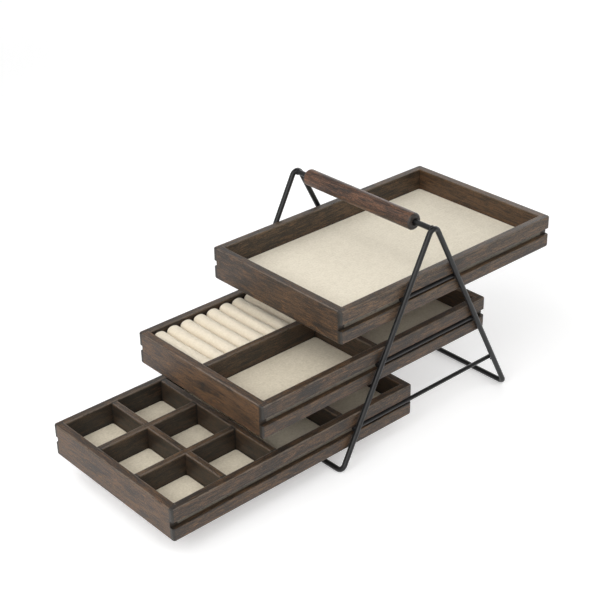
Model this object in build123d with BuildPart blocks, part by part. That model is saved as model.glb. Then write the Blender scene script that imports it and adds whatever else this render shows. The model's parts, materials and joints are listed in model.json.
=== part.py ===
from build123d import *

import os
from math import asin, atan2, cos, degrees, hypot, sin, tan

# Portable three-tier jewellery organiser, in millimetres.
# Three equal wooden trays slide lengthwise on wire rails inside an A-shaped wire stand, which is
# carried by a wooden grip at its top.
# X runs along the trays, Y across them, Z up.  The origin is on the table under the stand's middle.

# ---------------------------------------------------------------- driving dimensions: trays
tray_length = 276.0  # outside, along X
tray_width = 172.0  # outside, along Y
tray_height = 32.5  # outside, along Z
board = 7.7  # thickness of the sides and the ends
top_round = 1.6  # upper outer edges
bottom_round = 2.2  # lower outer edges
corner_extra = 0.2  # how much more the upright outer corners are rounded
lip_extra = 0.6  # lip of a side board that covers an end board's end, beyond that rounding
rim_ease = 0.8  # inner edge of the rim
base_recess = 3.5  # from the boards' lower edges up to the base's underside
base_thick = 4.5
base_tongue = 2.5  # how deep the base enters the dado in the boards
dado_slack = 0.3  # between the base's edge and the dado's end
lining_thick = 3.5  # linen over card and a thin pad
lining_gap = 0.3  # between a lining and the wood around it
lining_round = 0.8  # upper edges of a lining
divider = 6.0  # thickness of every divider
divider_drop = 0.3  # divider's top below the rim
divider_ease = 0.6  # upper edges of a divider
lap_gap = 0.1  # each side of a half-lapped divider

# ---------------------------------------------------------------- driving dimensions: layout
bottom_tray_z = 21.3  # underside of the lowest tray above the table
tray_pitch = 54.6  # from one tray's underside to the next one's
bottom_shift = -156.6  # middle of each tray from the middle of the stand, with the trays pulled out
middle_shift = -59.4
top_shift = 30.2
cell_columns = 2  # small square compartments at the left of the bottom tray
cell_rows = 3
cell_length = 49.2  # along X
large_bay = 72.0  # length of the bottom tray's large compartment
roll_count = 8  # ring rolls in the middle tray
roll_pitch = 15.3
roll_gap = 0.3  # between neighbouring rolls, and around them
ring_bay_slack = 5.2  # free length beside the last roll, where the rolls can be spread
roll_below_rim = 1.0  # crown of the rolls under the rim
roll_foot_round = 2.0

# ---------------------------------------------------------------- driving dimensions: stand
stand_height = 208.6  # to the top of the bent wire
foot_spread = 110.0  # from the middle to each floor bar's centre line
wire_r = 2.5  # legs and floor bars
rail_r = 2.0
handle_rod_r = 2.5
apex_bend_r = 6.0  # centre-line radius of the bend at the top of each A
foot_bend_r = 6.0
bend_stub = 2.0  # straight wire beyond each bend, up to the cut between two lengths
side_gap = 0.8  # between a tray's side and the legs
weld_bite = 0.5  # how far a rail or the handle rod sinks into the wire it is welded to
rail_overrun = 1.5  # rail end beyond the leg's centre line
handle_drop = 0.5  # handle rod's centre below the crest of the bends

# ---------------------------------------------------------------- driving dimensions: running fits
groove_height = 6.4  # slot along the outside of a tray's sides
groove_depth = 4.4
groove_lip = 0.9  # rounding of the slot's two lips
rail_top_gap = 0.3  # between the top of a rail and the slot's upper wall, which hangs on it
grip_r = 8.0
grip_length = 139.0
grip_shift = 2.5  # the loose grip lies a little towards the far side
grip_bore_gap = 0.7  # bore's radius over the rod's
grip_hang_gap = 0.3  # between the rod's top and the bore that hangs on it
grip_end_round = 2.6
grip_mouth = 0.5  # chamfer round the bore's mouths

# ---------------------------------------------------------------- sizes worked out from them
near, far = -1, 1  # towards -Y and +Y
left, right = -1, 1  # towards -X and +X
corner_round = max(bottom_round, top_round) + corner_extra
corner_lip = corner_round + lip_extra
end_half = tray_width / 2 - corner_lip
inner_length = tray_length - 2 * board
inner_width = tray_width - 2 * board
base_top = base_recess + base_thick
divider_top = tray_height - divider_drop
inner_left = -inner_length / 2
tray_z = [bottom_tray_z + level * tray_pitch for level in range(3)]

leg_y = tray_width / 2 + side_gap + wire_r
rail_y = leg_y - wire_r - rail_r + weld_bite
groove_z = tray_height / 2
rail_z = [z + groove_z + groove_height / 2 - rail_top_gap - rail_r for z in tray_z]

crest_z = stand_height - wire_r
bend_centre_z = crest_z - apex_bend_r
foot_z = wire_r
foot_reach = hypot(foot_spread, bend_centre_z - foot_z)
leg_angle = atan2(foot_spread, bend_centre_z - foot_z) - asin(apex_bend_r / foot_reach)
apex_z = bend_centre_z + apex_bend_r / sin(leg_angle)  # where the straight legs would meet
leg_down = Vector(sin(leg_angle), 0, -cos(leg_angle))  # along a right-hand leg
apex_cut = apex_bend_r / tan(leg_angle) + bend_stub  # from that point to the top of a leg
foot_cut = foot_bend_r + bend_stub
handle_z = crest_z - handle_drop
handle_half = leg_y - wire_r + weld_bite
grip_bore_r = handle_rod_r + grip_bore_gap
grip_z = handle_z - grip_bore_gap + grip_hang_gap
tiny = 1e-4

os.makedirs("parts", exist_ok=True)


def keep(piece, label):
    """Name a finished piece and write it to its own file."""
    piece.part.label = label
    export_step(piece.part, f"parts/{label}.step")
    return piece


# ================================================================ the wire stand


def leg_point(side, end, along):
    """Point on a leg's centre line, measured down from where its two legs would meet."""
    return Vector(end * along * leg_down.X, side * leg_y, apex_z + along * leg_down.Z)


def straight_rod(start, finish, radius):
    """Round rod between two points."""
    with BuildPart() as rod:
        with BuildSketch(Plane(origin=start, z_dir=finish - start)):
            Circle(radius)
        extrude(amount=(finish - start).length)
    return rod


def bent_rod(points, bend_r, radius):
    """Round wire along straight runs, with every corner bent to one radius."""
    with BuildPart() as rod:
        with BuildLine() as path:
            FilletPolyline(*points, radius=bend_r)
        with BuildSketch(Plane(origin=points[0], z_dir=points[1] - points[0])):
            Circle(radius)
        sweep()
    return rod


# A leg runs from the bend at the top down to the bend at the foot.
leg_length = (apex_z - foot_z) / cos(leg_angle)
side_names = {near: "near", far: "far"}
end_names = {left: "left", right: "right"}
legs = {}
apex_bends = {}
for side, side_name in side_names.items():
    for end, end_name in end_names.items():
        top_point = leg_point(side, end, apex_cut)
        foot_point = leg_point(side, end, leg_length - foot_cut)
        legs[side, end] = keep(straight_rod(top_point, foot_point, wire_r), f"{side_name}_{end_name}_leg")
    bend_points = [leg_point(side, left, apex_cut), leg_point(side, left, 0)]
    bend_points.append(leg_point(side, right, apex_cut))
    apex_bends[side] = keep(bent_rod(bend_points, apex_bend_r, wire_r), f"{side_name}_apex_bend")

# Each floor bar turns up into the near and the far leg at its two ends.
for end, end_name in end_names.items():
    bar_points = [
        leg_point(near, end, leg_length - foot_cut),
        leg_point(near, end, leg_length),
        leg_point(far, end, leg_length),
        leg_point(far, end, leg_length - foot_cut),
    ]
    keep(bent_rod(bar_points, foot_bend_r, wire_r), f"{end_name}_floor_bar")

# The handle rod is welded between the two bends, whose wire bites a little way into its ends.
with BuildPart() as handle_rod:
    with BuildSketch(Plane(origin=(0, -handle_half, handle_z), z_dir=(0, 1, 0))):
        Circle(handle_rod_r)
    extrude(amount=2 * handle_half)
    for side in side_names:
        add(apex_bends[side].part, mode=Mode.SUBTRACT)
keep(handle_rod, "handle_rod")


def make_rail(side, level):
    """Rail welded across the inner faces of a side's two legs, saddled onto each."""
    leg_x = (apex_z - rail_z[level]) * tan(leg_angle)
    half = leg_x + rail_overrun
    with BuildPart() as rail:
        with BuildSketch(Plane(origin=(-half, side * rail_y, rail_z[level]), z_dir=(1, 0, 0))):
            Circle(rail_r)
        extrude(amount=2 * half)
        for end in end_names:
            add(legs[side, end].part, mode=Mode.SUBTRACT)
    return rail


for level, level_name in enumerate(["bottom", "middle", "top"]):
    for side, side_name in side_names.items():
        keep(make_rail(side, level), f"{side_name}_{level_name}_rail")

# ================================================================ the turned grip

with BuildPart() as grip:
    with BuildSketch(Plane(origin=(0, grip_shift - grip_length / 2, grip_z), z_dir=(0, 1, 0))):
        Circle(grip_r)
        Circle(grip_bore_r, mode=Mode.SUBTRACT)
    extrude(amount=grip_length)
    end_circles = grip.edges().filter_by(GeomType.CIRCLE)
    chamfer(end_circles.filter_by(lambda edge: edge.radius < grip_r - tiny), grip_mouth)
    end_circles = grip.edges().filter_by(GeomType.CIRCLE)
    fillet(end_circles.filter_by(lambda edge: edge.radius > grip_r - tiny), grip_end_round)
keep(grip, "grip")

# ================================================================ parts that every tray has


def draw_groove(side):
    """Draw the hollow of the rail groove in one side: a square slot with rounded lips."""
    face_y = side * tray_width / 2
    with Locations((face_y, groove_z)):
        Rectangle(2 * groove_depth, groove_height)
        Rectangle(2 * groove_lip, groove_height + 2 * groove_lip)
    lip_y = face_y - side * groove_lip
    lip_z = groove_height / 2 + groove_lip
    with Locations((lip_y, groove_z + lip_z), (lip_y, groove_z - lip_z)):
        Circle(groove_lip, mode=Mode.SUBTRACT)


def end_plane(x, z):
    """Plane facing +X, with its own X across the tray and its own Y up from the tray's underside."""
    return Plane(origin=(x, 0, z), x_dir=(0, 1, 0), z_dir=(1, 0, 0))


def section_plane(y, z):
    """Plane facing +Y, with its own Y up from the tray's underside and its own X towards -X."""
    return Plane(origin=(0, y, z), x_dir=(-1, 0, 0), z_dir=(0, 1, 0))


def make_side(x, z, side):
    """Long side board, rabbeted for the end boards, grooved for the rail and the base."""
    outer_y = side * tray_width / 2
    rabbet = board - corner_lip
    with BuildPart() as side_board:
        with BuildSketch(Plane.XY.offset(z)) as plan:
            with Locations((x, outer_y - side * board / 2)):
                Rectangle(tray_length, board)
            fillet(plan.vertices().sort_by(lambda v: -side * v.Y)[:2], corner_round)
            with Locations((x, outer_y - side * (corner_lip + rabbet / 2))):
                with GridLocations(tray_length - board, 0, 2, 1):
                    Rectangle(board, rabbet, mode=Mode.SUBTRACT)
        extrude(amount=tray_height)
        # Round the outer rim and foot and the lips' ends, then ease the inner rim.
        for place, radius in ((-1, top_round), (0, bottom_round)):
            edges = side_board.faces().sort_by(Axis.Z)[place].edges()
            fillet([edge for edge in edges if side * (outer_y - edge.center().Y) < corner_lip - tiny], radius)
        rim = side_board.faces().sort_by(Axis.Z)[-1]
        fillet(rim.edges().sort_by(lambda edge: side * edge.center().Y)[0], rim_ease)
        with BuildSketch(end_plane(x - tray_length / 2, z)):
            draw_groove(side)
        extrude(amount=tray_length, mode=Mode.SUBTRACT)
        with BuildSketch(Plane.XY.offset(z + base_recess)):
            with Locations((x, side * (inner_width + base_tongue) / 2)):
                Rectangle(inner_length, base_tongue)
        extrude(amount=base_thick, mode=Mode.SUBTRACT)
    return side_board


def make_end(x, z, end):
    """End board that sits in the rabbets of both sides, where the rail grooves run out past it."""
    outer_x = x + end * tray_length / 2
    inner_x = outer_x - end * board
    with BuildPart() as end_board:
        with BuildSketch(section_plane(-end_half, z)) as profile:
            with Locations((-(outer_x + inner_x) / 2, tray_height / 2)):
                Rectangle(board, tray_height)
            for place, radius in ((-1, top_round), (0, bottom_round)):
                corners = profile.vertices().group_by(Axis.Y)[place]
                fillet(corners.sort_by(lambda v: end * v.X)[0], radius)
        extrude(amount=2 * end_half)
        with BuildSketch(end_plane(min(outer_x, inner_x), z)):
            for side in side_names:
                draw_groove(side)
        extrude(amount=board, mode=Mode.SUBTRACT)
        # Dado for the base, stopped short of the board's ends.
        with BuildSketch(Plane.XY.offset(z + base_recess)):
            with Locations((inner_x + end * base_tongue / 2, 0)):
                Rectangle(base_tongue, inner_width + 2 * base_tongue)
        extrude(amount=base_thick, mode=Mode.SUBTRACT)
        # The inner rim is eased between the two sides only.
        with BuildSketch(section_plane(-inner_width / 2, z)):
            with Locations((-inner_x - end * rim_ease / 2, tray_height - rim_ease / 2)):
                Rectangle(rim_ease, rim_ease)
            with Locations((-inner_x - end * rim_ease, tray_height - rim_ease)):
                Circle(rim_ease, mode=Mode.SUBTRACT)
        extrude(amount=inner_width, mode=Mode.SUBTRACT)
    return end_board


def make_base(x, z):
    """Thin base panel, let into the dado all round."""
    with BuildPart() as base:
        with BuildSketch(Plane.XY.offset(z + base_recess)):
            with Locations((x, 0)):
                reach = 2 * (base_tongue - dado_slack)
                Rectangle(inner_length + reach, inner_width + reach)
        extrude(amount=base_thick)
    return base


def make_lining(x, z, x_range, y_range):
    """Padded linen panel that lies on the base of one compartment."""
    length = x_range[1] - x_range[0] - 2 * lining_gap
    width = y_range[1] - y_range[0] - 2 * lining_gap
    with BuildPart() as lining:
        with BuildSketch(Plane.XY.offset(z + base_top)):
            with Locations((x + sum(x_range) / 2, sum(y_range) / 2)):
                Rectangle(length, width)
        extrude(amount=lining_thick)
        fillet(lining.edges().group_by(Axis.Z)[-1], lining_round)
    return lining


def make_cross_divider(x, z, low_x, notches=()):
    """Divider across the tray, notched from above where a lengthwise divider crosses it."""
    lap_z = (base_top + divider_top) / 2
    with BuildPart() as cross_divider:
        with BuildSketch(section_plane(-inner_width / 2, z)) as profile:
            with Locations((-(x + low_x + divider / 2), lap_z)):
                Rectangle(divider, divider_top - base_top)
            fillet(profile.vertices().group_by(Axis.Y)[-1], divider_ease)
        extrude(amount=inner_width)
        for notch_y in notches:
            with BuildSketch(Plane.XY.offset(z + lap_z)):
                with Locations((x + low_x + divider / 2, notch_y)):
                    Rectangle(divider, divider + 2 * lap_gap)
            extrude(amount=divider_top - lap_z, mode=Mode.SUBTRACT)
    return cross_divider


def make_long_divider(x, z, x_range, y, notches=()):
    """Divider along the tray, notched from below where a crosswise divider passes through."""
    lap_z = (base_top + divider_top) / 2
    with BuildPart() as long_divider:
        with BuildSketch(end_plane(x + x_range[0], z)) as profile:
            with Locations((y, lap_z)):
                Rectangle(divider, divider_top - base_top)
            fillet(profile.vertices().group_by(Axis.Y)[-1], divider_ease)
        extrude(amount=x_range[1] - x_range[0])
        for notch_x in notches:
            with BuildSketch(Plane.XY.offset(z + base_top)):
                with Locations((x + notch_x, y)):
                    Rectangle(divider + 2 * lap_gap, divider)
            extrude(amount=lap_z - base_top, mode=Mode.SUBTRACT)
    return long_divider


def keep_tray_box(name, x, z):
    """Write the four boards and the base of one tray."""
    for side, side_name in side_names.items():
        keep(make_side(x, z, side), f"{name}_{side_name}_side")
    for end, end_name in end_names.items():
        keep(make_end(x, z, end), f"{name}_{end_name}_end")
    keep(make_base(x, z), f"{name}_base")


full_width = (-inner_width / 2, inner_width / 2)

# ================================================================ top tray: one open compartment

top_x, top_z = top_shift, tray_z[2]
keep_tray_box("top", top_x, top_z)
keep(make_lining(top_x, top_z, (inner_left, -inner_left), full_width), "top_lining")

# ================================================================ middle tray: ring rolls and two bays

middle_x, middle_z = middle_shift, tray_z[1]
ring_bay_end = inner_left + roll_count * roll_pitch + ring_bay_slack
half_divider = divider / 2
keep_tray_box("middle", middle_x, middle_z)
keep(make_cross_divider(middle_x, middle_z, ring_bay_end), "middle_cross_divider")
keep(make_long_divider(middle_x, middle_z, (inner_left, ring_bay_end), 0), "middle_long_divider")
near_bay = (-inner_width / 2, -half_divider)
keep(make_lining(middle_x, middle_z, (inner_left, ring_bay_end), near_bay), "middle_near_lining")
right_bay = (ring_bay_end + divider, -inner_left)
keep(make_lining(middle_x, middle_z, right_bay, full_width), "middle_right_lining")


def make_ring_roll(number):
    """Foam core in fabric: flat sides and foot, and a full round crown."""
    width = roll_pitch - roll_gap
    height = tray_height - roll_below_rim - base_top
    crown_round = width / 2 - tiny
    low_y = half_divider + roll_gap
    high_y = inner_width / 2 - roll_gap
    roll_x = middle_x + inner_left + (number + 0.5) * roll_pitch
    with BuildPart() as roll:
        with BuildSketch(section_plane(low_y, middle_z)) as profile:
            with Locations((-roll_x, base_top + height / 2)):
                Rectangle(width, height)
            fillet(profile.vertices().group_by(Axis.Y)[-1], crown_round)
            fillet(profile.vertices().group_by(Axis.Y)[0], roll_foot_round)
        extrude(amount=high_y - low_y)
    return roll


for number in range(roll_count):
    keep(make_ring_roll(number), f"ring_roll_{number + 1}")

# ================================================================ bottom tray: six cells and two bays

bottom_x, bottom_z = bottom_shift, tray_z[0]
cell_width = (inner_width - (cell_rows - 1) * divider) / cell_rows
cell_left = [inner_left + column * (cell_length + divider) for column in range(cell_columns)]
cell_low = [-inner_width / 2 + row * (cell_width + divider) for row in range(cell_rows)]
row_divider_y = [low + cell_width + half_divider for low in cell_low[:-1]]
cells_end = cell_left[-1] + cell_length
large_bay_end = cells_end + divider + large_bay
keep_tray_box("bottom", bottom_x, bottom_z)

# The divider between the columns is half-lapped with the ones between the rows.
column_dividers = [cell_x + cell_length for cell_x in cell_left[:-1]]
for number, low_x in enumerate(column_dividers):
    keep(make_cross_divider(bottom_x, bottom_z, low_x, row_divider_y), f"bottom_column_divider_{number + 1}")
notches = [low_x + half_divider for low_x in column_dividers]
for number, y in enumerate(row_divider_y):
    row_divider = make_long_divider(bottom_x, bottom_z, (inner_left, cells_end), y, notches)
    keep(row_divider, f"bottom_row_divider_{number + 1}")
keep(make_cross_divider(bottom_x, bottom_z, cells_end), "bottom_cells_divider")
keep(make_cross_divider(bottom_x, bottom_z, large_bay_end), "bottom_bay_divider")

cell_number = 0
for low_y in cell_low:
    for low_x in cell_left:
        cell_number += 1
        cell = make_lining(bottom_x, bottom_z, (low_x, low_x + cell_length), (low_y, low_y + cell_width))
        keep(cell, f"bottom_cell_lining_{cell_number}")
large_range = (cells_end + divider, large_bay_end)
keep(make_lining(bottom_x, bottom_z, large_range, full_width), "bottom_large_lining")
small_range = (large_bay_end + divider, -inner_left)
keep(make_lining(bottom_x, bottom_z, small_range, full_width), "bottom_right_lining")

print("leg angle from upright", round(degrees(leg_angle), 3), "legs would meet at", round(apex_z, 3))
print("rail heights", [round(z, 3) for z in rail_z], "rail y", round(rail_y, 3), "leg y", round(leg_y, 3))
print("grip axis z", round(grip_z, 3))
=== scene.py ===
# %% [markdown]
# # A three-tier jewellery organiser, dressed in Blender
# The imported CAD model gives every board, wire and rod its place in metres.  This lesson gives those
# parts their finishes, makes the soft goods (linen linings and ring rolls) as real padded shapes,
# adds the little weld beads of the wire stand, and then sets up a soft studio round it all.

import json
from math import cos, radians

import bpy
from mathutils import Matrix, Vector, noise


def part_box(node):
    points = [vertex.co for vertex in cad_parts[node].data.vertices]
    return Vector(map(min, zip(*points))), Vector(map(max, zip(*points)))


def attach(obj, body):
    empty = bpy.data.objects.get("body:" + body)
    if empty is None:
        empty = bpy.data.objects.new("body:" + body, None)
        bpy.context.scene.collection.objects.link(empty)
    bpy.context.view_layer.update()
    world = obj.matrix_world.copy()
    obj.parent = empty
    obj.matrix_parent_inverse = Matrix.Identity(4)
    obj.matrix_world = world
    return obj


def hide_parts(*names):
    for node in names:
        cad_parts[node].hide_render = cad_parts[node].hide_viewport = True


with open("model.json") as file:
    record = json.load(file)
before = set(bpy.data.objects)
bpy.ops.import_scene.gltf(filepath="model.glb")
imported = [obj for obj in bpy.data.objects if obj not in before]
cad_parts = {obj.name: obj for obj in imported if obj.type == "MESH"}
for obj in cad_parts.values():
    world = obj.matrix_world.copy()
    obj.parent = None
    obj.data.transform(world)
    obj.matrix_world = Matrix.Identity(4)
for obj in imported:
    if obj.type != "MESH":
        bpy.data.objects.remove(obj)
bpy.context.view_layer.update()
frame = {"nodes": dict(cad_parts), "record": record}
nodes = frame["nodes"]
scene = bpy.context.scene
bodies = frame["record"]["behaviour"]["bodies"]
body_of = {node: body for body, members in bodies.items() for node in members}

# %% [markdown]
# ## The camera
# Everything is looked at from one place first, so the camera comes before any making.  It stands in
# front and to the left, a little above the organiser, with a long lens that keeps the trays' edges
# nearly parallel.  A camera looks along its own -Z, so three turns aim it: a tilt up from straight
# down, a turn round the upright, and a very small roll.  An empty could be tracked instead, but
# plain angles are easier to read and to repeat.

# %% Camera
camera_place = Vector((-0.79702, -0.81198, 0.72358))
camera_turn = radians(-41.539)
camera_height_angle = radians(28.693)
camera_roll = radians(-1.023)
camera_data = bpy.data.cameras.new("studio_camera")
camera_data.lens = 81.9
camera_data.sensor_width = 36.0
camera = bpy.data.objects.new("studio_camera", camera_data)
scene.collection.objects.link(camera)
camera.matrix_world = (
    Matrix.Translation(camera_place)
    @ Matrix.Rotation(camera_turn, 4, "Z")
    @ Matrix.Rotation(radians(90) - camera_height_angle, 4, "X")
    @ Matrix.Rotation(camera_roll, 4, "Z")
)
scene.camera = camera
print("camera stands", round(camera_place.length, 3), "m from the stand's foot")

# %% [markdown]
# ## Working by hand, in code
# Operators act on whatever is selected.  `only` leaves one object selected and active, so each
# step below starts from a known state.  `settle` writes an object's place into its mesh, so that
# the finished piece sits at the origin, unturned and unscaled, like the CAD parts.  `choose` does
# what a mouse would do in edit mode: it selects the points, edges or faces that are wanted, by
# where they are.

# %% Selecting and settling
def only(piece):
    """Select one object and make it the active one."""
    bpy.ops.object.select_all(action="DESELECT")
    piece.select_set(True)
    bpy.context.view_layer.objects.active = piece


def settle(piece):
    """Write the object's place, turn and scale into its mesh."""
    only(piece)
    bpy.ops.object.transform_apply(location=True, rotation=True, scale=True)


def choose(piece, kind, wanted):
    """Enter edit mode with only those points, edges or faces selected that the test accepts."""
    only(piece)
    bpy.ops.object.mode_set(mode="EDIT")
    bpy.ops.mesh.select_mode(type=kind)
    bpy.ops.mesh.select_all(action="DESELECT")
    bpy.ops.object.mode_set(mode="OBJECT")
    points = piece.data.vertices
    parts = {"VERT": points, "EDGE": piece.data.edges, "FACE": piece.data.polygons}[kind]
    for part in parts:
        corners = [part.index] if kind == "VERT" else part.vertices
        part.select = wanted([points[index].co for index in corners])
    bpy.ops.object.mode_set(mode="EDIT")


# %% [markdown]
# Three more habits are shared by all the new pieces.  What repeats is made once and copied, and
# each copy gets its own mesh.  A modifier is applied as soon as it is set, so that the shape is
# real.  One round of subdivision at the end takes the corners out of a soft shape.

# %% Copying and smoothing
def copy_of(piece):
    """Copy an object together with its mesh."""
    made = piece.copy()
    made.data = piece.data.copy()
    scene.collection.objects.link(made)
    return made


def apply_modifier(piece, kind, **settings):
    """Add a modifier, set it and apply it."""
    only(piece)
    bpy.ops.object.modifier_add(type=kind)
    modifier = piece.modifiers[-1]
    for key, value in settings.items():
        setattr(modifier, key, value)
    bpy.ops.object.modifier_apply(modifier=modifier.name)


def soften(piece):
    """Subdivide a piece once and shade it smooth."""
    apply_modifier(piece, "SUBSURF", levels=1, render_levels=1)
    bpy.ops.object.shade_smooth()


# %% [markdown]
# ## Soft goods
# The linings and the ring rolls are cloth over something that gives.  A bevelled box would have the
# right outline but would look like a block of plastic, because real cloth is never quite even.  So
# each shape is blown up gently as cloth, with pressure inside and no gravity, and then no point may
# be further than a small limit from where it started.  That keeps the piece in its compartment.

# %% Blowing a shape up as cloth
cloth_frames = 20
cloth_stiffness = 15.0


def puff(piece, pressure, rise_limit, held=""):
    """Blow a closed piece up as cloth, then cap how far each point may move."""
    only(piece)
    before = [vertex.co.copy() for vertex in piece.data.vertices]
    bpy.ops.object.modifier_add(type="CLOTH")
    cloth = piece.modifiers[-1]
    cloth.settings.effector_weights.gravity = 0
    cloth.settings.quality = 5
    cloth.settings.tension_stiffness = cloth_stiffness
    cloth.settings.compression_stiffness = cloth_stiffness
    cloth.settings.use_pressure = True
    cloth.settings.uniform_pressure_force = pressure
    cloth.settings.vertex_group_mass = held
    cloth.point_cache.frame_start = 1
    cloth.point_cache.frame_end = cloth_frames
    for frame_number in range(1, cloth_frames + 1):
        scene.frame_set(frame_number)
    bpy.ops.object.modifier_apply(modifier=cloth.name)
    scene.frame_set(1)
    furthest = 0.0
    for vertex, start in zip(piece.data.vertices, before):
        step = vertex.co - start
        if step.length > rise_limit:
            vertex.co = start + step * (rise_limit / step.length)
        furthest = max(furthest, (vertex.co - start).length)
    return furthest


# %% [markdown]
# Each compartment is floored with linen wrapped over card and a thin pad.  Such a pad is flat
# underneath, soft along its upper edges and a touch fuller in the middle.  A grid is laid at the
# lining's outline and extruded up to the edge's height, then three shorter steps that also shrink
# roll the edge over.  A bevel would do the edge as well, but every face stays four-sided this way,
# and cloth likes that.

# %% Shape of a padded lining
pad_cell = 0.004
pad_fewest_cells = 8
pad_start_below = 0.0003  # the pad before it rises, under the CAD lining's top
pad_edge_steps = [(0.0001, 0.0004), (0.0002, 0.0003), (0.0003, 0.00015)]  # inwards and up


def pad_block(node):
    """Build a lining as a closed grid with rolled upper edges, its flat top left selected."""
    low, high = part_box(node)
    size = high - low
    middle = (low + high) / 2
    cells_x, cells_y = (max(pad_fewest_cells, round(span / pad_cell)) for span in (size.x, size.y))
    bpy.ops.object.select_all(action="DESELECT")
    bpy.ops.mesh.primitive_grid_add(
        x_subdivisions=cells_x, y_subdivisions=cells_y, size=1, location=(middle.x, middle.y, low.z)
    )
    pad = bpy.context.active_object
    pad.name = node + "_pad"
    pad.scale = (size.x, size.y, 1)
    settle(pad)
    bpy.ops.object.mode_set(mode="EDIT")
    bpy.ops.mesh.select_mode(type="FACE")
    bpy.ops.mesh.select_all(action="SELECT")
    wall = high.z - pad_start_below - low.z - sum(up for inward, up in pad_edge_steps)
    bpy.ops.mesh.extrude_region_move(TRANSFORM_OT_translate={"value": (0, 0, wall)})
    length, width = size.x, size.y
    for inward, up in pad_edge_steps:
        bpy.ops.mesh.extrude_region_move(TRANSFORM_OT_translate={"value": (0, 0, up)})
        bpy.ops.transform.resize(
            value=(1 - 2 * inward / length, 1 - 2 * inward / width, 1),
            center_override=(middle.x, middle.y, 0),
        )
        length, width = length - 2 * inward, width - 2 * inward
    bpy.ops.object.mode_set(mode="OBJECT")
    return pad


# %% [markdown]
# Only the flat top may rise: the sides and the underside are glued to the card, so their points are
# held in the simulation.  A slow noise then makes the top a little uneven, as a hand-laid pad is.
# Each pad stands in for one plain CAD lining, and slides with that lining's tray.

# %% Padded linen linings
pad_pressure = 0.35
pad_rise_limit = 0.0009
pad_waves_per_metre = 60
pad_wave_height = 0.00012
pad_seed_step = 3.7


def make_lining(node, seed):
    """Make the padded lining that replaces one plain CAD lining."""
    pad = pad_block(node)
    loose = {vertex.index for vertex in pad.data.vertices if vertex.select}
    bpy.ops.object.mode_set(mode="EDIT")
    bpy.ops.mesh.select_all(action="SELECT")
    bpy.ops.mesh.normals_make_consistent(inside=False)
    bpy.ops.object.mode_set(mode="OBJECT")
    held = pad.vertex_groups.new(name="held")
    held.add([vertex.index for vertex in pad.data.vertices if vertex.index not in loose], 1.0, "REPLACE")
    rise = puff(pad, pad_pressure, pad_rise_limit, held.name)
    for vertex in pad.data.vertices:
        if vertex.index in loose:
            wave = noise.noise(vertex.co * pad_waves_per_metre + Vector((seed, 0, 0)))
            vertex.co.z += pad_wave_height * wave
    soften(pad)
    return pad, rise


linings = {}
for number, node in enumerate(sorted(name for name in nodes if "_lining" in name)):
    pad, rise = make_lining(node, number * pad_seed_step)
    linings[node] = pad
    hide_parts(node)
    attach(pad, body_of[node])
    print(pad.name, "faces", len(pad.data.polygons), "rose", round(rise * 1000, 2), "mm")

# %% [markdown]
# Rings are pushed between eight soft rolls that lie side by side.  A roll is a strip of foam
# wrapped in smooth cloth: flat where it touches its neighbours and the divider, a full round crown
# on top, and a far end that pulls in like the end of a bolster.  One roll is made from a box.  Its
# long upper edges and its far end are bevelled round, and it is remeshed so that the cloth can
# stretch evenly.  A cylinder would be quicker, but it has no flat foot and no flat sides.

# %% Shape of a ring roll
roll_names = sorted(name for name in nodes if name.startswith("ring_roll_"))
roll_voxel = 0.0014
roll_inset = 0.0005  # room for the swelling, at every side but the foot
roll_near_inset = 0.0001  # at the near end, which presses on the board
roll_crown_share = 0.46  # of the width, at each long upper edge
roll_crown_profile = 0.54
roll_far_round = 0.0030
touching = 1e-6  # places nearer than this count as the same


def roll_block(node):
    """Make one ring roll in the place of its plain CAD solid."""
    low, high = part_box(node)
    low = low + Vector((roll_inset, roll_near_inset, 0))
    high = high - Vector((roll_inset, roll_inset, roll_inset))

    def along_top(ends):
        return min(p.z for p in ends) > high.z - touching and abs(ends[0].x - ends[1].x) < touching

    def far_end(ends):
        return min(p.y for p in ends) > high.y - touching and max(p.z for p in ends) > low.z + touching

    bpy.ops.object.select_all(action="DESELECT")
    bpy.ops.mesh.primitive_cube_add(size=1, location=(low + high) / 2, scale=high - low)
    roll = bpy.context.active_object
    settle(roll)
    choose(roll, "EDGE", along_top)
    crown = (high.x - low.x) * roll_crown_share
    bpy.ops.mesh.bevel(offset=crown, segments=10, profile=roll_crown_profile)
    bpy.ops.object.mode_set(mode="OBJECT")
    choose(roll, "EDGE", far_end)
    bpy.ops.mesh.bevel(offset=roll_far_round, segments=4)
    bpy.ops.object.mode_set(mode="OBJECT")
    roll.data.remesh_voxel_size = roll_voxel
    bpy.ops.object.voxel_remesh()
    return roll


# %% [markdown]
# The first roll is blown up against its own skin and smoothed.  The others are copies, each moved
# to its place and given a little unevenness of its own by a noise that starts elsewhere.  A roll
# may press on its neighbours by a hair, and no further, and its foot stays flat.

# %% Ring rolls
roll_pressure = 4.0
roll_rise_limit = 0.0004
roll_waves_per_metre = 45
roll_wave_along, roll_wave_up = 0.0003, 0.00025
roll_press_x, roll_press_y = 0.00005, 0.0001  # how far a roll may pass its CAD solid
roll_seed_step = 5.3
elsewhere = Vector((9, 9, 9))  # a second place in the noise

first_roll = roll_block(roll_names[0])
first_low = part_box(roll_names[0])[0]
roll_rise = puff(first_roll, roll_pressure, roll_rise_limit)
apply_modifier(first_roll, "SMOOTH", iterations=5)
print("first roll:", len(first_roll.data.polygons), "faces, swelled", round(roll_rise * 1000, 2), "mm")

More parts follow.
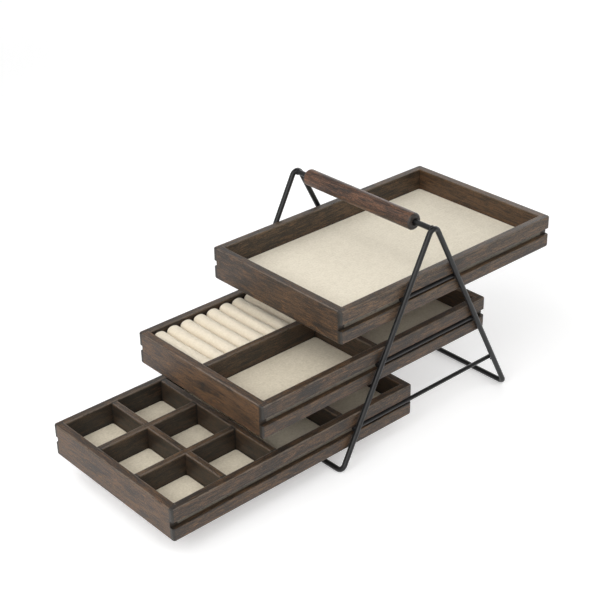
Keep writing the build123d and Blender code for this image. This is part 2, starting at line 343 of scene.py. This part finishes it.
rolls = []
for number, node in enumerate(roll_names):
    low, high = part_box(node)
    roll = copy_of(first_roll)
    roll.name = node + "_cloth"
    sideways = Vector((low.x - first_low.x, 0, 0))
    for vertex in roll.data.vertices:
        spot = vertex.co * roll_waves_per_metre + Vector((number * roll_seed_step, 0, 0))
        along = noise.noise(spot) * roll_wave_along
        up = noise.noise(spot + elsewhere) * roll_wave_up
        vertex.co += sideways + Vector((0, along, up))
        vertex.co.x = min(max(vertex.co.x, low.x - roll_press_x), high.x + roll_press_x)
        vertex.co.y = min(max(vertex.co.y, low.y - roll_press_y), high.y + roll_press_y)
        vertex.co.z = max(vertex.co.z, low.z)
    soften(roll)
    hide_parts(node)
    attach(roll, body_of[node])
    rolls.append(roll)
bpy.data.objects.remove(first_roll)
print("rolls:", len(rolls), "faces each", len(rolls[0].data.polygons))

# %% [markdown]
# ## Weld beads
# The rails are welded to the legs where they cross, and the rod of the handle to the tops of the
# two side frames.  A bead is a row of drops that melted into each other, so it is a long drop with
# ripples across it.  Bumps in a finish would not do, because a bead changes the outline of the
# joint.  It starts as a ball that lies on its side, every other ring of which is drawn in.

# %% Shape of a weld bead
bead_half = Vector((0.0020, 0.00095, 0.0012))  # half its length, depth and height
bead_sides = 14
bead_rings = 12
bead_waist = 0.84  # of the full thickness, between two ripples
bpy.ops.object.select_all(action="DESELECT")
bpy.ops.mesh.primitive_uv_sphere_add(
    segments=bead_sides, ring_count=bead_rings, radius=1, rotation=(0, radians(90), 0)
)
bead = bpy.context.active_object
settle(bead)
waists = [cos(radians(180) * ring / bead_rings) for ring in range(1, bead_rings, 2)]
choose(bead, "VERT", lambda ends: any(abs(ends[0].x - waist) < 0.01 for waist in waists))
bpy.ops.transform.resize(value=(1, bead_waist, bead_waist), center_override=(0, 0, 0))
bpy.ops.object.mode_set(mode="OBJECT")
bead.scale = bead_half
settle(bead)
soften(bead)
bead_length = 2 * max(vertex.co.x for vertex in bead.data.vertices)
print("one bead:", len(bead.data.polygons), "faces,", round(bead_length * 1000, 1), "mm long")

# %% [markdown]
# Two beads go at each crossing, one above the rail and one below, in the notch between rail and
# leg.  They stay outside the line where a tray slides past.  A leg is a straight wire, so the
# middles of its two end rings give its centre line, and the crossing is where that line reaches
# the rail's height.

# %% Beads where the rails cross the legs
bead_clear = 0.0002  # from the rail's surface to the bead's middle


def place_bead(place):
    """Put a copy of the bead somewhere."""
    drop = copy_of(bead)
    drop.location = place
    settle(drop)
    return drop


def wire_ends(node):
    """The top and the bottom of a straight wire's centre line."""
    points = [vertex.co for vertex in nodes[node].data.vertices]
    halfway = (max(p.z for p in points) + min(p.z for p in points)) / 2
    upper = [p for p in points if p.z > halfway]
    lower = [p for p in points if p.z < halfway]
    return sum(upper, Vector()) / len(upper), sum(lower, Vector()) / len(lower)


beads = []
for side in ("near", "far"):
    for end in ("left", "right"):
        top, foot = wire_ends(f"{side}_{end}_leg")
        for level in ("bottom", "middle", "top"):
            low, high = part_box(f"{side}_{level}_rail")
            rail_radius, rail_height = (high.z - low.z) / 2, (high.z + low.z) / 2
            share = (rail_height - foot.z) / (top.z - foot.z)
            crossing = foot + (top - foot) * share
            outer_face = high.y if side == "far" else low.y
            for upward in (1, -1):
                height = rail_height + upward * (rail_radius + bead_clear)
                beads.append(place_bead(Vector((crossing.x, outer_face, height))))
print("beads at the crossings:", len(beads))

# %% [markdown]
# Each end of the handle's rod has a whole collar of smaller drops.  One drop is set on top of the
# rod and spun round it, which leaves a copy at every step.  The spin stops one step short of the
# full turn, because the last copy would lie on the first drop.  All the welds are then joined into
# one piece that belongs to the stand.

# %% Collars of drops on the handle's rod
collar_drops = 10
collar_step = radians(360) / collar_drops
collar_inset = 0.0005  # from the rod's end
collar_scale = (0.55, 1, 0.75)
low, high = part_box("handle_rod")
rod_height, rod_radius = (low.z + high.z) / 2, (high.z - low.z) / 2
for end_y in (low.y + collar_inset, high.y - collar_inset):
    place = (0, end_y, rod_height + rod_radius)
    drop = place_bead(place)
    choose(drop, "VERT", lambda ends: True)
    bpy.ops.transform.resize(value=collar_scale, center_override=place)
    copies = collar_drops - 1
    bpy.ops.mesh.spin(
        steps=copies, angle=copies * collar_step, center=(0, end_y, rod_height), axis=(0, 1, 0), dupli=True
    )
    bpy.ops.object.mode_set(mode="OBJECT")
    beads.append(drop)
bpy.data.objects.remove(bead)
only(beads[0])
for drop in beads:
    drop.select_set(True)
bpy.ops.object.join()
welds = bpy.context.active_object
welds.name = "weld_beads"
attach(welds, "stand")
print("weld beads:", len(beads), "faces", len(welds.data.polygons))

# %% [markdown]
# ## Finishes
# Materials are made of nodes.  An image could be wrapped round each board, but it would stretch,
# repeat and blur up close.  A pattern that is worked out at each point in space does none of that.
# `add_node` puts one node in a tree and joins its inputs in one line: an input is given either a
# plain value or the output of an earlier node.

# %% A short way to add nodes
def add_node(tree, kind, inputs=None, **settings):
    """Add a node, set its settings, and give or link its inputs."""
    made = tree.nodes.new(kind)
    for key, value in settings.items():
        setattr(made, key, value)
    for key, value in (inputs or {}).items():
        if isinstance(value, bpy.types.NodeSocket):
            tree.links.new(value, made.inputs[key])
        else:
            made.inputs[key].default_value = value
    return made


def new_finish(name):
    """Start a material with its shader and Object coordinates."""
    material = bpy.data.materials.new(name)
    material.use_nodes = True
    tree = material.node_tree
    tree.nodes.clear()
    shader = add_node(tree, "ShaderNodeBsdfPrincipled")
    output = add_node(tree, "ShaderNodeOutputMaterial")
    tree.links.new(shader.outputs["BSDF"], output.inputs["Surface"])
    place = add_node(tree, "ShaderNodeTexCoord").outputs["Object"]
    return material, tree, shader, place


# %% [markdown]
# A finish is built up like a sum: patterns give values from 0 to 1, arithmetic weighs them against
# each other, a ramp turns the result into a colour, and colours are mixed where a mark lies.  Noise
# is the one pattern used almost everywhere.  Stretched along one direction it becomes streaks.

# %% Patterns and sums
def streaks(tree, place, feature, detail, rough, warp=0.0, centre=(0, 0, 0), turn=(0, 0, 0)):
    """Noise stretched to a feature's size in metres: along the grain, across it, through it."""
    mapped = add_node(
        tree, "ShaderNodeMapping", {"Vector": place, "Location": centre, "Rotation": turn, "Scale": feature},
        vector_type="TEXTURE",
    )
    wanted = {"Scale": 1.0, "Detail": detail, "Roughness": rough, "Distortion": warp}
    return add_node(tree, "ShaderNodeTexNoise", {"Vector": mapped.outputs["Vector"], **wanted}).outputs["Fac"]


def spots(tree, place, size, detail, rough):
    """Noise of the same size in every direction."""
    return streaks(tree, place, (size, size, size), detail, rough)


def sums(tree, operation, first, second=0.0, third=0.0):
    """One step of arithmetic."""
    return add_node(tree, "ShaderNodeMath", {0: first, 1: second, 2: third}, operation=operation).outputs[0]


def weigh(tree, start, parts):
    """Add values to a start, each times its share."""
    total = start
    for value, share in parts:
        total = sums(tree, "MULTIPLY_ADD", value, share, total)
    return total


def map_range(tree, value, start, finish, low=0.0, high=1.0):
    """Turn a range of values into another, smoothly."""
    made = add_node(
        tree, "ShaderNodeMapRange",
        {"Value": value, "From Min": start, "From Max": finish, "To Min": low, "To Max": high},
        interpolation_type="SMOOTHSTEP",
    )
    return made.outputs["Result"]


# %% [markdown]
# Colours are given as shares of light, so a dark wood has small numbers.  `relief` turns a height
# into the small bumps that make light break up on a surface.  Only grain, weave and orange peel are
# left to it: anything that shows in outline is real geometry.

# %% Colours and relief
def ramp(tree, value, stops):
    """Turn a value into colours, from a list of (position, colour)."""
    made = add_node(tree, "ShaderNodeValToRGB", {"Fac": value})
    elements = made.color_ramp.elements
    while len(elements) < len(stops):
        elements.new(0.5)
    for element, (position, colour) in zip(elements, stops):
        element.position = position
        element.color = (*colour, 1.0)
    return made.outputs["Color"]


def mix(tree, share, first, second, blend="MIX"):
    """Mix two colours."""
    made = add_node(tree, "ShaderNodeMix", data_type="RGBA", blend_type=blend)
    for index, value in ((0, share), (6, first), (7, second)):
        if isinstance(value, bpy.types.NodeSocket):
            tree.links.new(value, made.inputs[index])
        else:
            made.inputs[index].default_value = value if index == 0 else (*value, 1.0)
    return made.outputs[2]


def stain(tree, colour, where, strength, stained):
    """Change a colour where a mark lies, as strongly as given."""
    return mix(tree, sums(tree, "MULTIPLY", where, strength), colour, stained)


def relief(tree, shader, height, strength, distance):
    """Let a height break up the light on a surface."""
    bump = add_node(tree, "ShaderNodeBump", {"Height": height, "Strength": strength, "Distance": distance})
    tree.links.new(bump.outputs["Normal"], shader.inputs["Normal"])


# %% [markdown]
# ## Walnut
# The boards are dark walnut, stained almost black in the grain and rubbed back to a reddish brown
# between.  Wood is a solid, so one pattern runs through the whole board: it is stretched along the
# grain and shows as fine dots on end grain.  Broad bands, fine lines, pores, clouds, rubbed patches
# and grit each have their own size.  Each board has its own place in the pattern, because no two
# boards are cut from the same spot.

# %% Walnut grain
grain_turns = {"x": (0, 0, 0), "y": (0, 0, radians(90))}
grain_patterns = {  # size along, across and through the grain; detail, roughness, distortion
    "bands": ((0.034, 0.0042, 0.0042), 5.0, 0.62, 1.0),
    "lines": ((0.0130, 0.0010, 0.0010), 4.0, 0.68, 0.5),
    "pores": ((0.0034, 0.00042, 0.00042), 2.0, 0.5, 0.0),
    "cloud": ((0.036, 0.015, 0.015), 3.0, 0.55, 0.4),
    "patch": ((0.016, 0.0060, 0.0060), 4.0, 0.65, 0.8),
    "grit": ((0.0011, 0.00065, 0.00065), 2.0, 0.6, 0.0),
}
tone_shares = {"lines": 0.85, "bands": 0.60, "grit": 0.45, "cloud": 0.25}
tone_level = -0.50
tone_stops = [  # dark grain, middle and warm
    (0.48, (0.0132, 0.0082, 0.0047)),
    (0.58, (0.048, 0.0258, 0.0118)),
    (0.70, (0.108, 0.055, 0.0235)),
]
rubbed_patches, rubbed_lines = (0.55, 0.68), (0.42, 0.62)  # pattern values: none rubbed, all rubbed
rubbed_stain = (0.70, (0.190, 0.090, 0.036))  # strength and colour, here and below
taupe_tint = (1.25, 1.60, 2.10)
ruddy_tint = (1.75, 1.42, 1.90)
board_step = Vector((0.37, 0.21, 0.13))  # from one board's place in the pattern to the next


def walnut_grain(tree, place, middle, grain, seed):
    """The patterns of one board's grain."""
    spot, turn = middle + board_step * (seed + 1), grain_turns[grain]
    return {name: streaks(tree, place, *look, spot, turn) for name, look in grain_patterns.items()}


def walnut_colour(tree, patterns, warmth, taupe, ruddy):
    """The colour of the clean board: its tone, what was rubbed back, and its own tint."""
    parts = [(patterns[name], share) for name, share in tone_shares.items()]
    wood = ramp(tree, weigh(tree, tone_level + warmth, parts), tone_stops)
    in_patch = map_range(tree, patterns["patch"], *rubbed_patches)
    in_line = map_range(tree, patterns["lines"], *rubbed_lines)
    wood = stain(tree, wood, sums(tree, "MULTIPLY", in_patch, in_line), *rubbed_stain)
    wood = mix(tree, taupe, wood, taupe_tint, "MULTIPLY")
    return mix(tree, ruddy, wood, ruddy_tint, "MULTIPLY")


# %% [markdown]
# Handling leaves its marks where hands and cloths reach.  `edge` is the distance to a board's
# nearest edge: of the three distances to its pairs of faces, the second smallest.  Along it the
# stain is rubbed thin and grey, and the same grey line is also painted highlight, the sheen of a
# rounded edge; both are least at the upright corners.  End grain drinks more stain and turns darker.
# The same could be painted by hand, but worked out from distances the marks follow the boards when
# their size changes.

# %% Wear along the edges, and end grain
# worn grey along the edges, which is also painted highlight, the sheen of the rounded edges
worn_and_highlight_grey = (0.72, (0.150, 0.118, 0.092))
end_stain = (0.85, (0.0115, 0.0110, 0.0090))
wear_and_highlight_near, wear_and_highlight_far = 0.0005, 0.0014  # full wear and painted highlight, and none, from the nearest edge
wear_and_highlight_wander = 0.0011  # how far the line of wear and painted highlight strays, either way
corner_spared = 0.0008  # how much further from an upright corner a place seems
end_near, end_far = 0.0012, 0.0022  # dark end grain, and none, from the board's end


def face_depths(tree, place, low, high):
    """Distances from a point to a box's three pairs of faces, and from its middle."""
    centre, half = (low + high) / 2, (high - low) / 2
    offset = add_node(tree, "ShaderNodeVectorMath", {0: place, 1: centre}, operation="SUBTRACT").outputs[0]
    spread = add_node(tree, "ShaderNodeVectorMath", {0: offset}, operation="ABSOLUTE").outputs[0]
    depth = add_node(tree, "ShaderNodeVectorMath", {0: half, 1: spread}, operation="SUBTRACT").outputs[0]
    depths = add_node(tree, "ShaderNodeSeparateXYZ", {0: depth}).outputs
    offsets = add_node(tree, "ShaderNodeSeparateXYZ", {0: offset}).outputs
    return list(depths), list(offsets)


def handle_board(tree, wood, patterns, depths, grain):
    """Rub the edges grey, with painted highlight along them, and darken the ends; give the colour, and where
    the wear and highlight are.
    """
    depth_x, depth_y, depth_z = depths
    over_xy = sums(tree, "ADD", sums(tree, "MAXIMUM", depth_x, depth_y), corner_spared)
    over_yz = sums(tree, "MAXIMUM", depth_y, depth_z)
    over_xz = sums(tree, "MAXIMUM", depth_x, depth_z)
    edge = sums(tree, "MINIMUM", sums(tree, "MINIMUM", over_xy, over_yz), over_xz)
    nearest = sums(tree, "ADD", edge, -wear_and_highlight_wander)
    ragged = sums(tree, "MULTIPLY_ADD", patterns["patch"], 2 * wear_and_highlight_wander, nearest)
    wear_and_highlight = map_range(tree, ragged, wear_and_highlight_near, wear_and_highlight_far, 1.0, 0.0)
    end_grain = map_range(tree, depth_x if grain == "x" else depth_y, end_near, end_far, 1.0, 0.0)
    wood = stain(tree, wood, wear_and_highlight, *worn_and_highlight_grey)
    return stain(tree, wood, end_grain, *end_stain), wear_and_highlight


# %% [markdown]
# The inner walls are painted darker, as painted shade, most of all in the bottom tray's small cells,
# which lie in the shade of the trays above.  Their upper edge is as light as the rim.  The back of a
# rail slot is painted pale, as painted light in its shaded hollow.

# %% Inner walls and rail slots
# painted shade: the colour that the inner walls are darkened towards
painted_shade_colour = (0.0132, 0.0122, 0.0108)
rim_from, rim_to = 0.0026, 0.0010  # below the board's top, where the dark walls fade into the rim
# painted light: the pale colour given to the back of a rail slot, whose hollow would shade it
skin_from, skin_to = 0.0008, 0.0002  # from an inner face inwards, where the painted shade ends
slot_painted_light = (0.55, (0.23, 0.215, 0.175))
slot_half, slot_fade = 0.0033, 0.0004  # a little over half the slot's height, and the fade in it
slot_back = (-0.0014, -0.0010, -0.0003, 0.0001)  # outwards from the middle: none, all, all, none


def paint_shade_on_inner_walls(tree, wood, offsets, half, inner, inner_shade):
    """Paint shade on the inner faces, each given as (axis number, sign)."""
    below_rim = map_range(tree, offsets[2], half.z - rim_from, half.z - rim_to, 1.0, 0.0)
    for axis, sign in inner:
        towards = sums(tree, "MULTIPLY", offsets[axis], sign)
        inside = map_range(tree, towards, half[axis] - skin_from, half[axis] - skin_to)
        wood = stain(tree, wood, sums(tree, "MULTIPLY", inside, below_rim), inner_shade, painted_shade_colour)
    return wood


def paint_light_in_slot(tree, wood, offsets, slot_side):
    """Paint light on the back of the rail slot in the outer face on one side."""
    none_in, all_in, all_out, none_out = slot_back
    outwards = sums(tree, "MULTIPLY", offsets[1], slot_side)
    shallow = map_range(tree, outwards, all_out, none_out, 1.0, 0.0)
    deep = map_range(tree, outwards, none_in, all_in)
    across = map_range(tree, sums(tree, "ABSOLUTE", offsets[2]), slot_half - slot_fade, slot_half, 1.0, 0.0)
    at_back = sums(tree, "MULTIPLY", sums(tree, "MULTIPLY", shallow, deep), across)
    return stain(tree, wood, at_back, *slot_painted_light)


# %% [markdown]
# All of that comes together in one material for each board.  Open pores are dark and sunk, the
# lacquer is thin and a little duller between the lines and where it is worn, and the grain can just
# be felt.  `taupe` greys a board and `ruddy` reddens it, as stain does on lighter and darker wood.

# %% Walnut
pore_colour = (0.008, 0.0055, 0.004)
pore_range, pore_strength = (0.57, 0.65), 0.85
least_dull, lines_dull, worn_dull = 0.33, 0.30, 0.08  # the roughness between lines, and what is added
felt_lines, felt_pores, felt_bands = 0.5, -0.6, 0.4


def walnut(
    name, low, high, grain, seed,
    warmth=0.0, taupe=0.0, ruddy=0.0, inner=(), inner_shade=0.0, slot_side=0,
):
    """Stained walnut for one board, with the grain along x or y.

    inner lists the inner faces as (axis number, sign) that painted shade darkens, by the strength given
    after it; slot_side is the sign of the outer y face that carries a rail slot, whose back gets painted
    light.
    """
    material, tree, shader, place = new_finish(name)
    patterns = walnut_grain(tree, place, (low + high) / 2, grain, seed)
    depths, offsets = face_depths(tree, place, low, high)
    wood = walnut_colour(tree, patterns, warmth, taupe, ruddy)
    wood, wear_and_highlight = handle_board(tree, wood, patterns, depths, grain)
    wood = paint_shade_on_inner_walls(tree, wood, offsets, (high - low) / 2, inner, inner_shade)
    if slot_side:
        wood = paint_light_in_slot(tree, wood, offsets, slot_side)
    lines, bands = patterns["lines"], patterns["bands"]
    open_pore = map_range(tree, patterns["pores"], *pore_range, 0.0, pore_strength)
    tree.links.new(mix(tree, open_pore, wood, pore_colour), shader.inputs["Base Color"])
    dull = weigh(tree, least_dull, [(lines, lines_dull), (wear_and_highlight, worn_dull)])
    tree.links.new(dull, shader.inputs["Roughness"])
    height = weigh(tree, 0.0, [(lines, felt_lines), (open_pore, felt_pores), (bands, felt_bands)])
    relief(tree, shader, height, 0.4, 0.0003)
    return material


# %% [markdown]
# A board's name and size tell how it is cut and how it has aged.  The grain runs along the longer
# side.  The long boards of the top tray are the greyest, the dividers are greyed by dust, and three
# end boards were cut from a lighter or a darker plank.  The grip is one turned piece of a redder
# cut, because it is what the hand holds.

# %% Finish for the boards and the grip
plank_warmth = {"top_left_end": -0.015, "middle_left_end": 0.055, "top_right_end": 0.065}
inner_faces = {"near_side": [(1, 1)], "far_side": [(1, -1)], "left_end": [(0, 1)], "right_end": [(0, -1)]}
divider_faces = {"x": [(1, 1), (1, -1)], "y": [(0, 1), (0, -1)]}
# painted shade on each tray's inner walls: least in the top tray, most in the bottom one, under the other two
tray_painted_shade = {"top": 0.12, "middle": 0.4, "bottom": 0.6}
divider_taupe = 0.35


def dress(node, material):
    """Give a CAD part its material."""
    mesh = nodes[node].data
    mesh.materials.clear()
    mesh.materials.append(material)


def board_look(node, grain):
    """How one board is cut and how it has aged, and the painted shade on its inner walls."""
    tray, kind = node.split("_", 1)
    slot_side = {"near_side": -1, "far_side": 1}.get(kind, 0)
    warmth, taupe = plank_warmth.get(node, 0.03), 0.0
    if slot_side:
        warmth, taupe = (0.0, 0.45) if tray == "top" else (-0.03, 0.15)
    if "divider" in kind:
        taupe = divider_taupe
    inner = divider_faces[grain] if "divider" in kind else inner_faces.get(kind, ())
    inner_shade = tray_painted_shade[tray]
    return dict(warmth=warmth, taupe=taupe, inner=inner, inner_shade=inner_shade, slot_side=slot_side)


boards = sorted(node for node in nodes if node.split("_")[0] in tray_painted_shade and "lining" not in node)
for seed, node in enumerate(boards):
    low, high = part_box(node)
    grain = "x" if high.x - low.x > high.y - low.y else "y"
    dress(node, walnut(node + "_walnut", low, high, grain, seed, **board_look(node, grain)))
grip_low, grip_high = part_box("grip")
dress("grip", walnut("grip_walnut", grip_low, grip_high, "y", 99, warmth=-0.01, ruddy=0.4))
print("walnut boards:", len(boards))

# %% [markdown]
# ## Black powder coat
# The wire has a black powder coat: not quite black, satin, with the faint orange peel that the
# powder leaves when it melts.  Plain black paint would be simpler, but the peel is what keeps the
# highlight along a wire from being a hard line.  The same finish goes on every wire of the stand
# and on its welds.

# %% Black powder coat
coat_stops = [(0.3, (0.0045, 0.0045, 0.0048)), (0.7, (0.0100, 0.0098, 0.0100))]
coat, tree, shader, place = new_finish("black_powder_coat")
peel = spots(tree, place, 0.0012, 2.0, 0.5)
patches = spots(tree, place, 0.02, 3.0, 0.6)
tree.links.new(ramp(tree, patches, coat_stops), shader.inputs["Base Color"])
tree.links.new(sums(tree, "MULTIPLY_ADD", patches, 0.16, 0.26), shader.inputs["Roughness"])
shader.inputs["Specular IOR Level"].default_value = 0.35
relief(tree, shader, peel, 0.2, 0.0002)

wires = [node for node in nodes if body_of[node] == "stand"]
for node in wires:
    dress(node, coat)
welds.data.materials.append(coat)
print("coated wires:", len(wires))

# %% [markdown]
# ## Linen and roll cloth
# Linen is a plain weave of uneven threads.  Two stripe patterns crossed at right angles make the
# weave, stretched noise along each thread direction makes the slubs, and a broad mottle makes the
# cloth look hand laid.  Modelled threads would be millions of faces for something finer than a
# pencil line.  The ring rolls wear a finer, smoother cloth of a warmer cream.

# %% Linen and roll cloth
slub_length, slub_threads = 0.012, 1.6  # a slub's length in metres, and its width in threads
threads_per_unit = 6.283  # a unit of the stripe pattern holds 3.18 stripes, each two threads wide
mottle_size, blotch_size = 0.0019, 0.0060
blotch_share = 0.30
weave_shade = 0.12


def stripes(tree, place, thread, direction):
    """Stripes side by side along X or Y, each two threads wide."""
    wanted = {"Scale": 1 / thread / threads_per_unit, "Distortion": 0.6, "Detail": 1.0}
    made = add_node(
        tree, "ShaderNodeTexWave", {"Vector": place, **wanted}, wave_type="BANDS", bands_direction=direction
    )
    return made.outputs["Fac"]


def cloth_finish(name, light, dark, thread, slub_share, fuzz):
    """Woven cloth: crossed threads, slubs and a soft mottle."""
    material, tree, shader, place = new_finish(name)
    thick = thread * slub_threads
    warp_slubs = streaks(tree, place, (slub_length, thick, thick), 2.0, 0.6)
    weft_slubs = streaks(tree, place, (thick, slub_length, thick), 2.0, 0.6)
    slubs = weigh(tree, 0.0, [(warp_slubs, 0.5), (weft_slubs, 0.5)])
    mottle = spots(tree, place, mottle_size, 3.0, 0.6)
    blotch = spots(tree, place, blotch_size, 3.0, 0.6)
    parts = [(slubs, slub_share), (mottle, 1 - slub_share), (blotch, blotch_share)]
    cloth = ramp(tree, weigh(tree, -blotch_share / 2, parts), [(0.26, dark), (0.64, light)])
    weave = sums(tree, "MULTIPLY", stripes(tree, place, thread, "X"), stripes(tree, place, thread, "Y"))
    shade = ramp(tree, weave, [(0.0, dark), (0.6, light)])
    tree.links.new(mix(tree, weave_shade, cloth, shade, "MULTIPLY"), shader.inputs["Base Color"])
    shader.inputs["Roughness"].default_value = 0.92
    shader.inputs["Specular IOR Level"].default_value = 0.2
    shader.inputs["Sheen Weight"].default_value = fuzz
    shader.inputs["Sheen Roughness"].default_value = 0.5
    relief(tree, shader, sums(tree, "MULTIPLY_ADD", slubs, 0.8, weave), 0.4, 0.00025)
    return material


# painted light: the top tray's linen is lighter than the same linen in the lower trays, which lie in shade
top_linen_painted_light = cloth_finish("top_cream_linen_painted_light", (0.90, 0.835, 0.70), (0.72, 0.655, 0.525), 0.0005, 0.35, 0.15)
linen = cloth_finish("cream_linen", (0.80, 0.725, 0.585), (0.62, 0.55, 0.42), 0.0005, 0.35, 0.15)
roll_cloth = cloth_finish("roll_cloth", (0.84, 0.76, 0.62), (0.74, 0.66, 0.52), 0.0003, 0.3, 0.3)
for node, pad in linings.items():
    pad.data.materials.append(top_linen_painted_light if body_of[node] == "top_tray" else linen)
for roll in rolls:
    roll.data.materials.append(roll_cloth)
print("linings:", len(linings), "cloth rolls:", len(rolls))

# %% [markdown]
# ## The studio
# The organiser stands on a plain white table.  The table glows faintly, more so far away, which
# stands for the white floor and walls of a real studio that throw light back from all sides.  The glow
# is painted light that also keeps the shadows on the table pale.  It is staging and not part of the object.

# %% Table
table_size = 12
table_below = 0.0002  # a hair under the floor bars, so that the two never share a plane
glow_near, glow_far = 0.34, 0.95
glow_from, glow_to = 0.9, 3.0  # metres from the organiser
bpy.ops.object.select_all(action="DESELECT")
bpy.ops.mesh.primitive_plane_add(size=table_size, location=(0, 0, -table_below))
table = bpy.context.active_object
table.name = "table_top"
table_paint, tree, shader, place = new_finish("table_white")
shade = spots(tree, place, 0.3, 2.0, 0.5)
table_stops = [(0.3, (0.84, 0.84, 0.84)), (0.7, (0.86, 0.86, 0.86))]
tree.links.new(ramp(tree, shade, table_stops), shader.inputs["Base Color"])
shader.inputs["Roughness"].default_value = 0.8
away = add_node(tree, "ShaderNodeVectorMath", {0: place}, operation="LENGTH").outputs["Value"]
glow = map_range(tree, away, glow_from, glow_to, glow_near, glow_far)
shader.inputs["Emission Color"].default_value = (1, 1, 1, 1)
tree.links.new(glow, shader.inputs["Emission Strength"])
table.data.materials.append(table_paint)
print("table:", table_size, "m wide")

# %% [markdown]
# The sky is white near the horizon only, so that the room looks pale but the lamps give the light.
# A sky that is white all over would fill every shadow and make the trays look flat.

# %% Sky
sky_low, sky_high = 0.95, 0.05
sky_top = 0.32  # height on a ball of radius 1 where the white has faded
world = bpy.data.worlds.new("studio")
scene.world = world
world.use_nodes = True
sky = world.node_tree
background = sky.nodes["Background"]
direction = add_node(sky, "ShaderNodeTexCoord").outputs["Generated"]
upwards = add_node(sky, "ShaderNodeSeparateXYZ", {0: direction}).outputs["Z"]
background.inputs["Color"].default_value = (1, 1, 1, 1)
sky.links.new(map_range(sky, upwards, 0.0, sky_top, sky_low, sky_high), background.inputs["Strength"])
print("sky strength from", sky_low, "down to", sky_high)

# %% [markdown]
# Soft light from large lamps keeps the shadows pale.  Two key lamps, a fill and a weak lamp behind
# shape the trays.  Two wide, dim lamps stand for the white wall behind the table, which shows as a
# grey sheen along the trays' rims.  All of them face one point in the middle of the organiser.

# %% Lamps
lamp_target = Vector((0, 0, 0.08))
lamps = [  # name, angle round from +X, height angle, distance, size, power
    ("key_low", -150, 22, 1.8, 1.2, 14.0),
    ("key_high", -178, 50, 1.8, 1.3, 13.5),
    ("fill", -90, 50, 1.8, 1.3, 12.0),
    ("back", 120, 50, 1.8, 1.2, 6.0),
    ("white_wall_right", 10, 20, 3.0, 2.4, 35.0),
    ("white_wall_far", 45, 20, 3.0, 2.4, 20.0),
]


def softbox(name, place, size, power):
    """A square lamp that faces the target."""
    lamp = bpy.data.lights.new(name, "AREA")
    lamp.shape = "SQUARE"
    lamp.size = size
    lamp.energy = power
    box = bpy.data.objects.new(name, lamp)
    scene.collection.objects.link(box)
    box.location = place
    box.rotation_euler = (lamp_target - place).to_track_quat("-Z", "Y").to_euler()


for name, round_angle, height_angle, distance, size, power in lamps:
    reach = Vector((distance, 0, 0))
    reach.rotate(Matrix.Rotation(radians(-height_angle), 3, "Y"))
    reach.rotate(Matrix.Rotation(radians(round_angle), 3, "Z"))
    softbox(name, reach, size, power)
scene.view_settings.view_transform = "Standard"
print("lamps:", len(lamps))
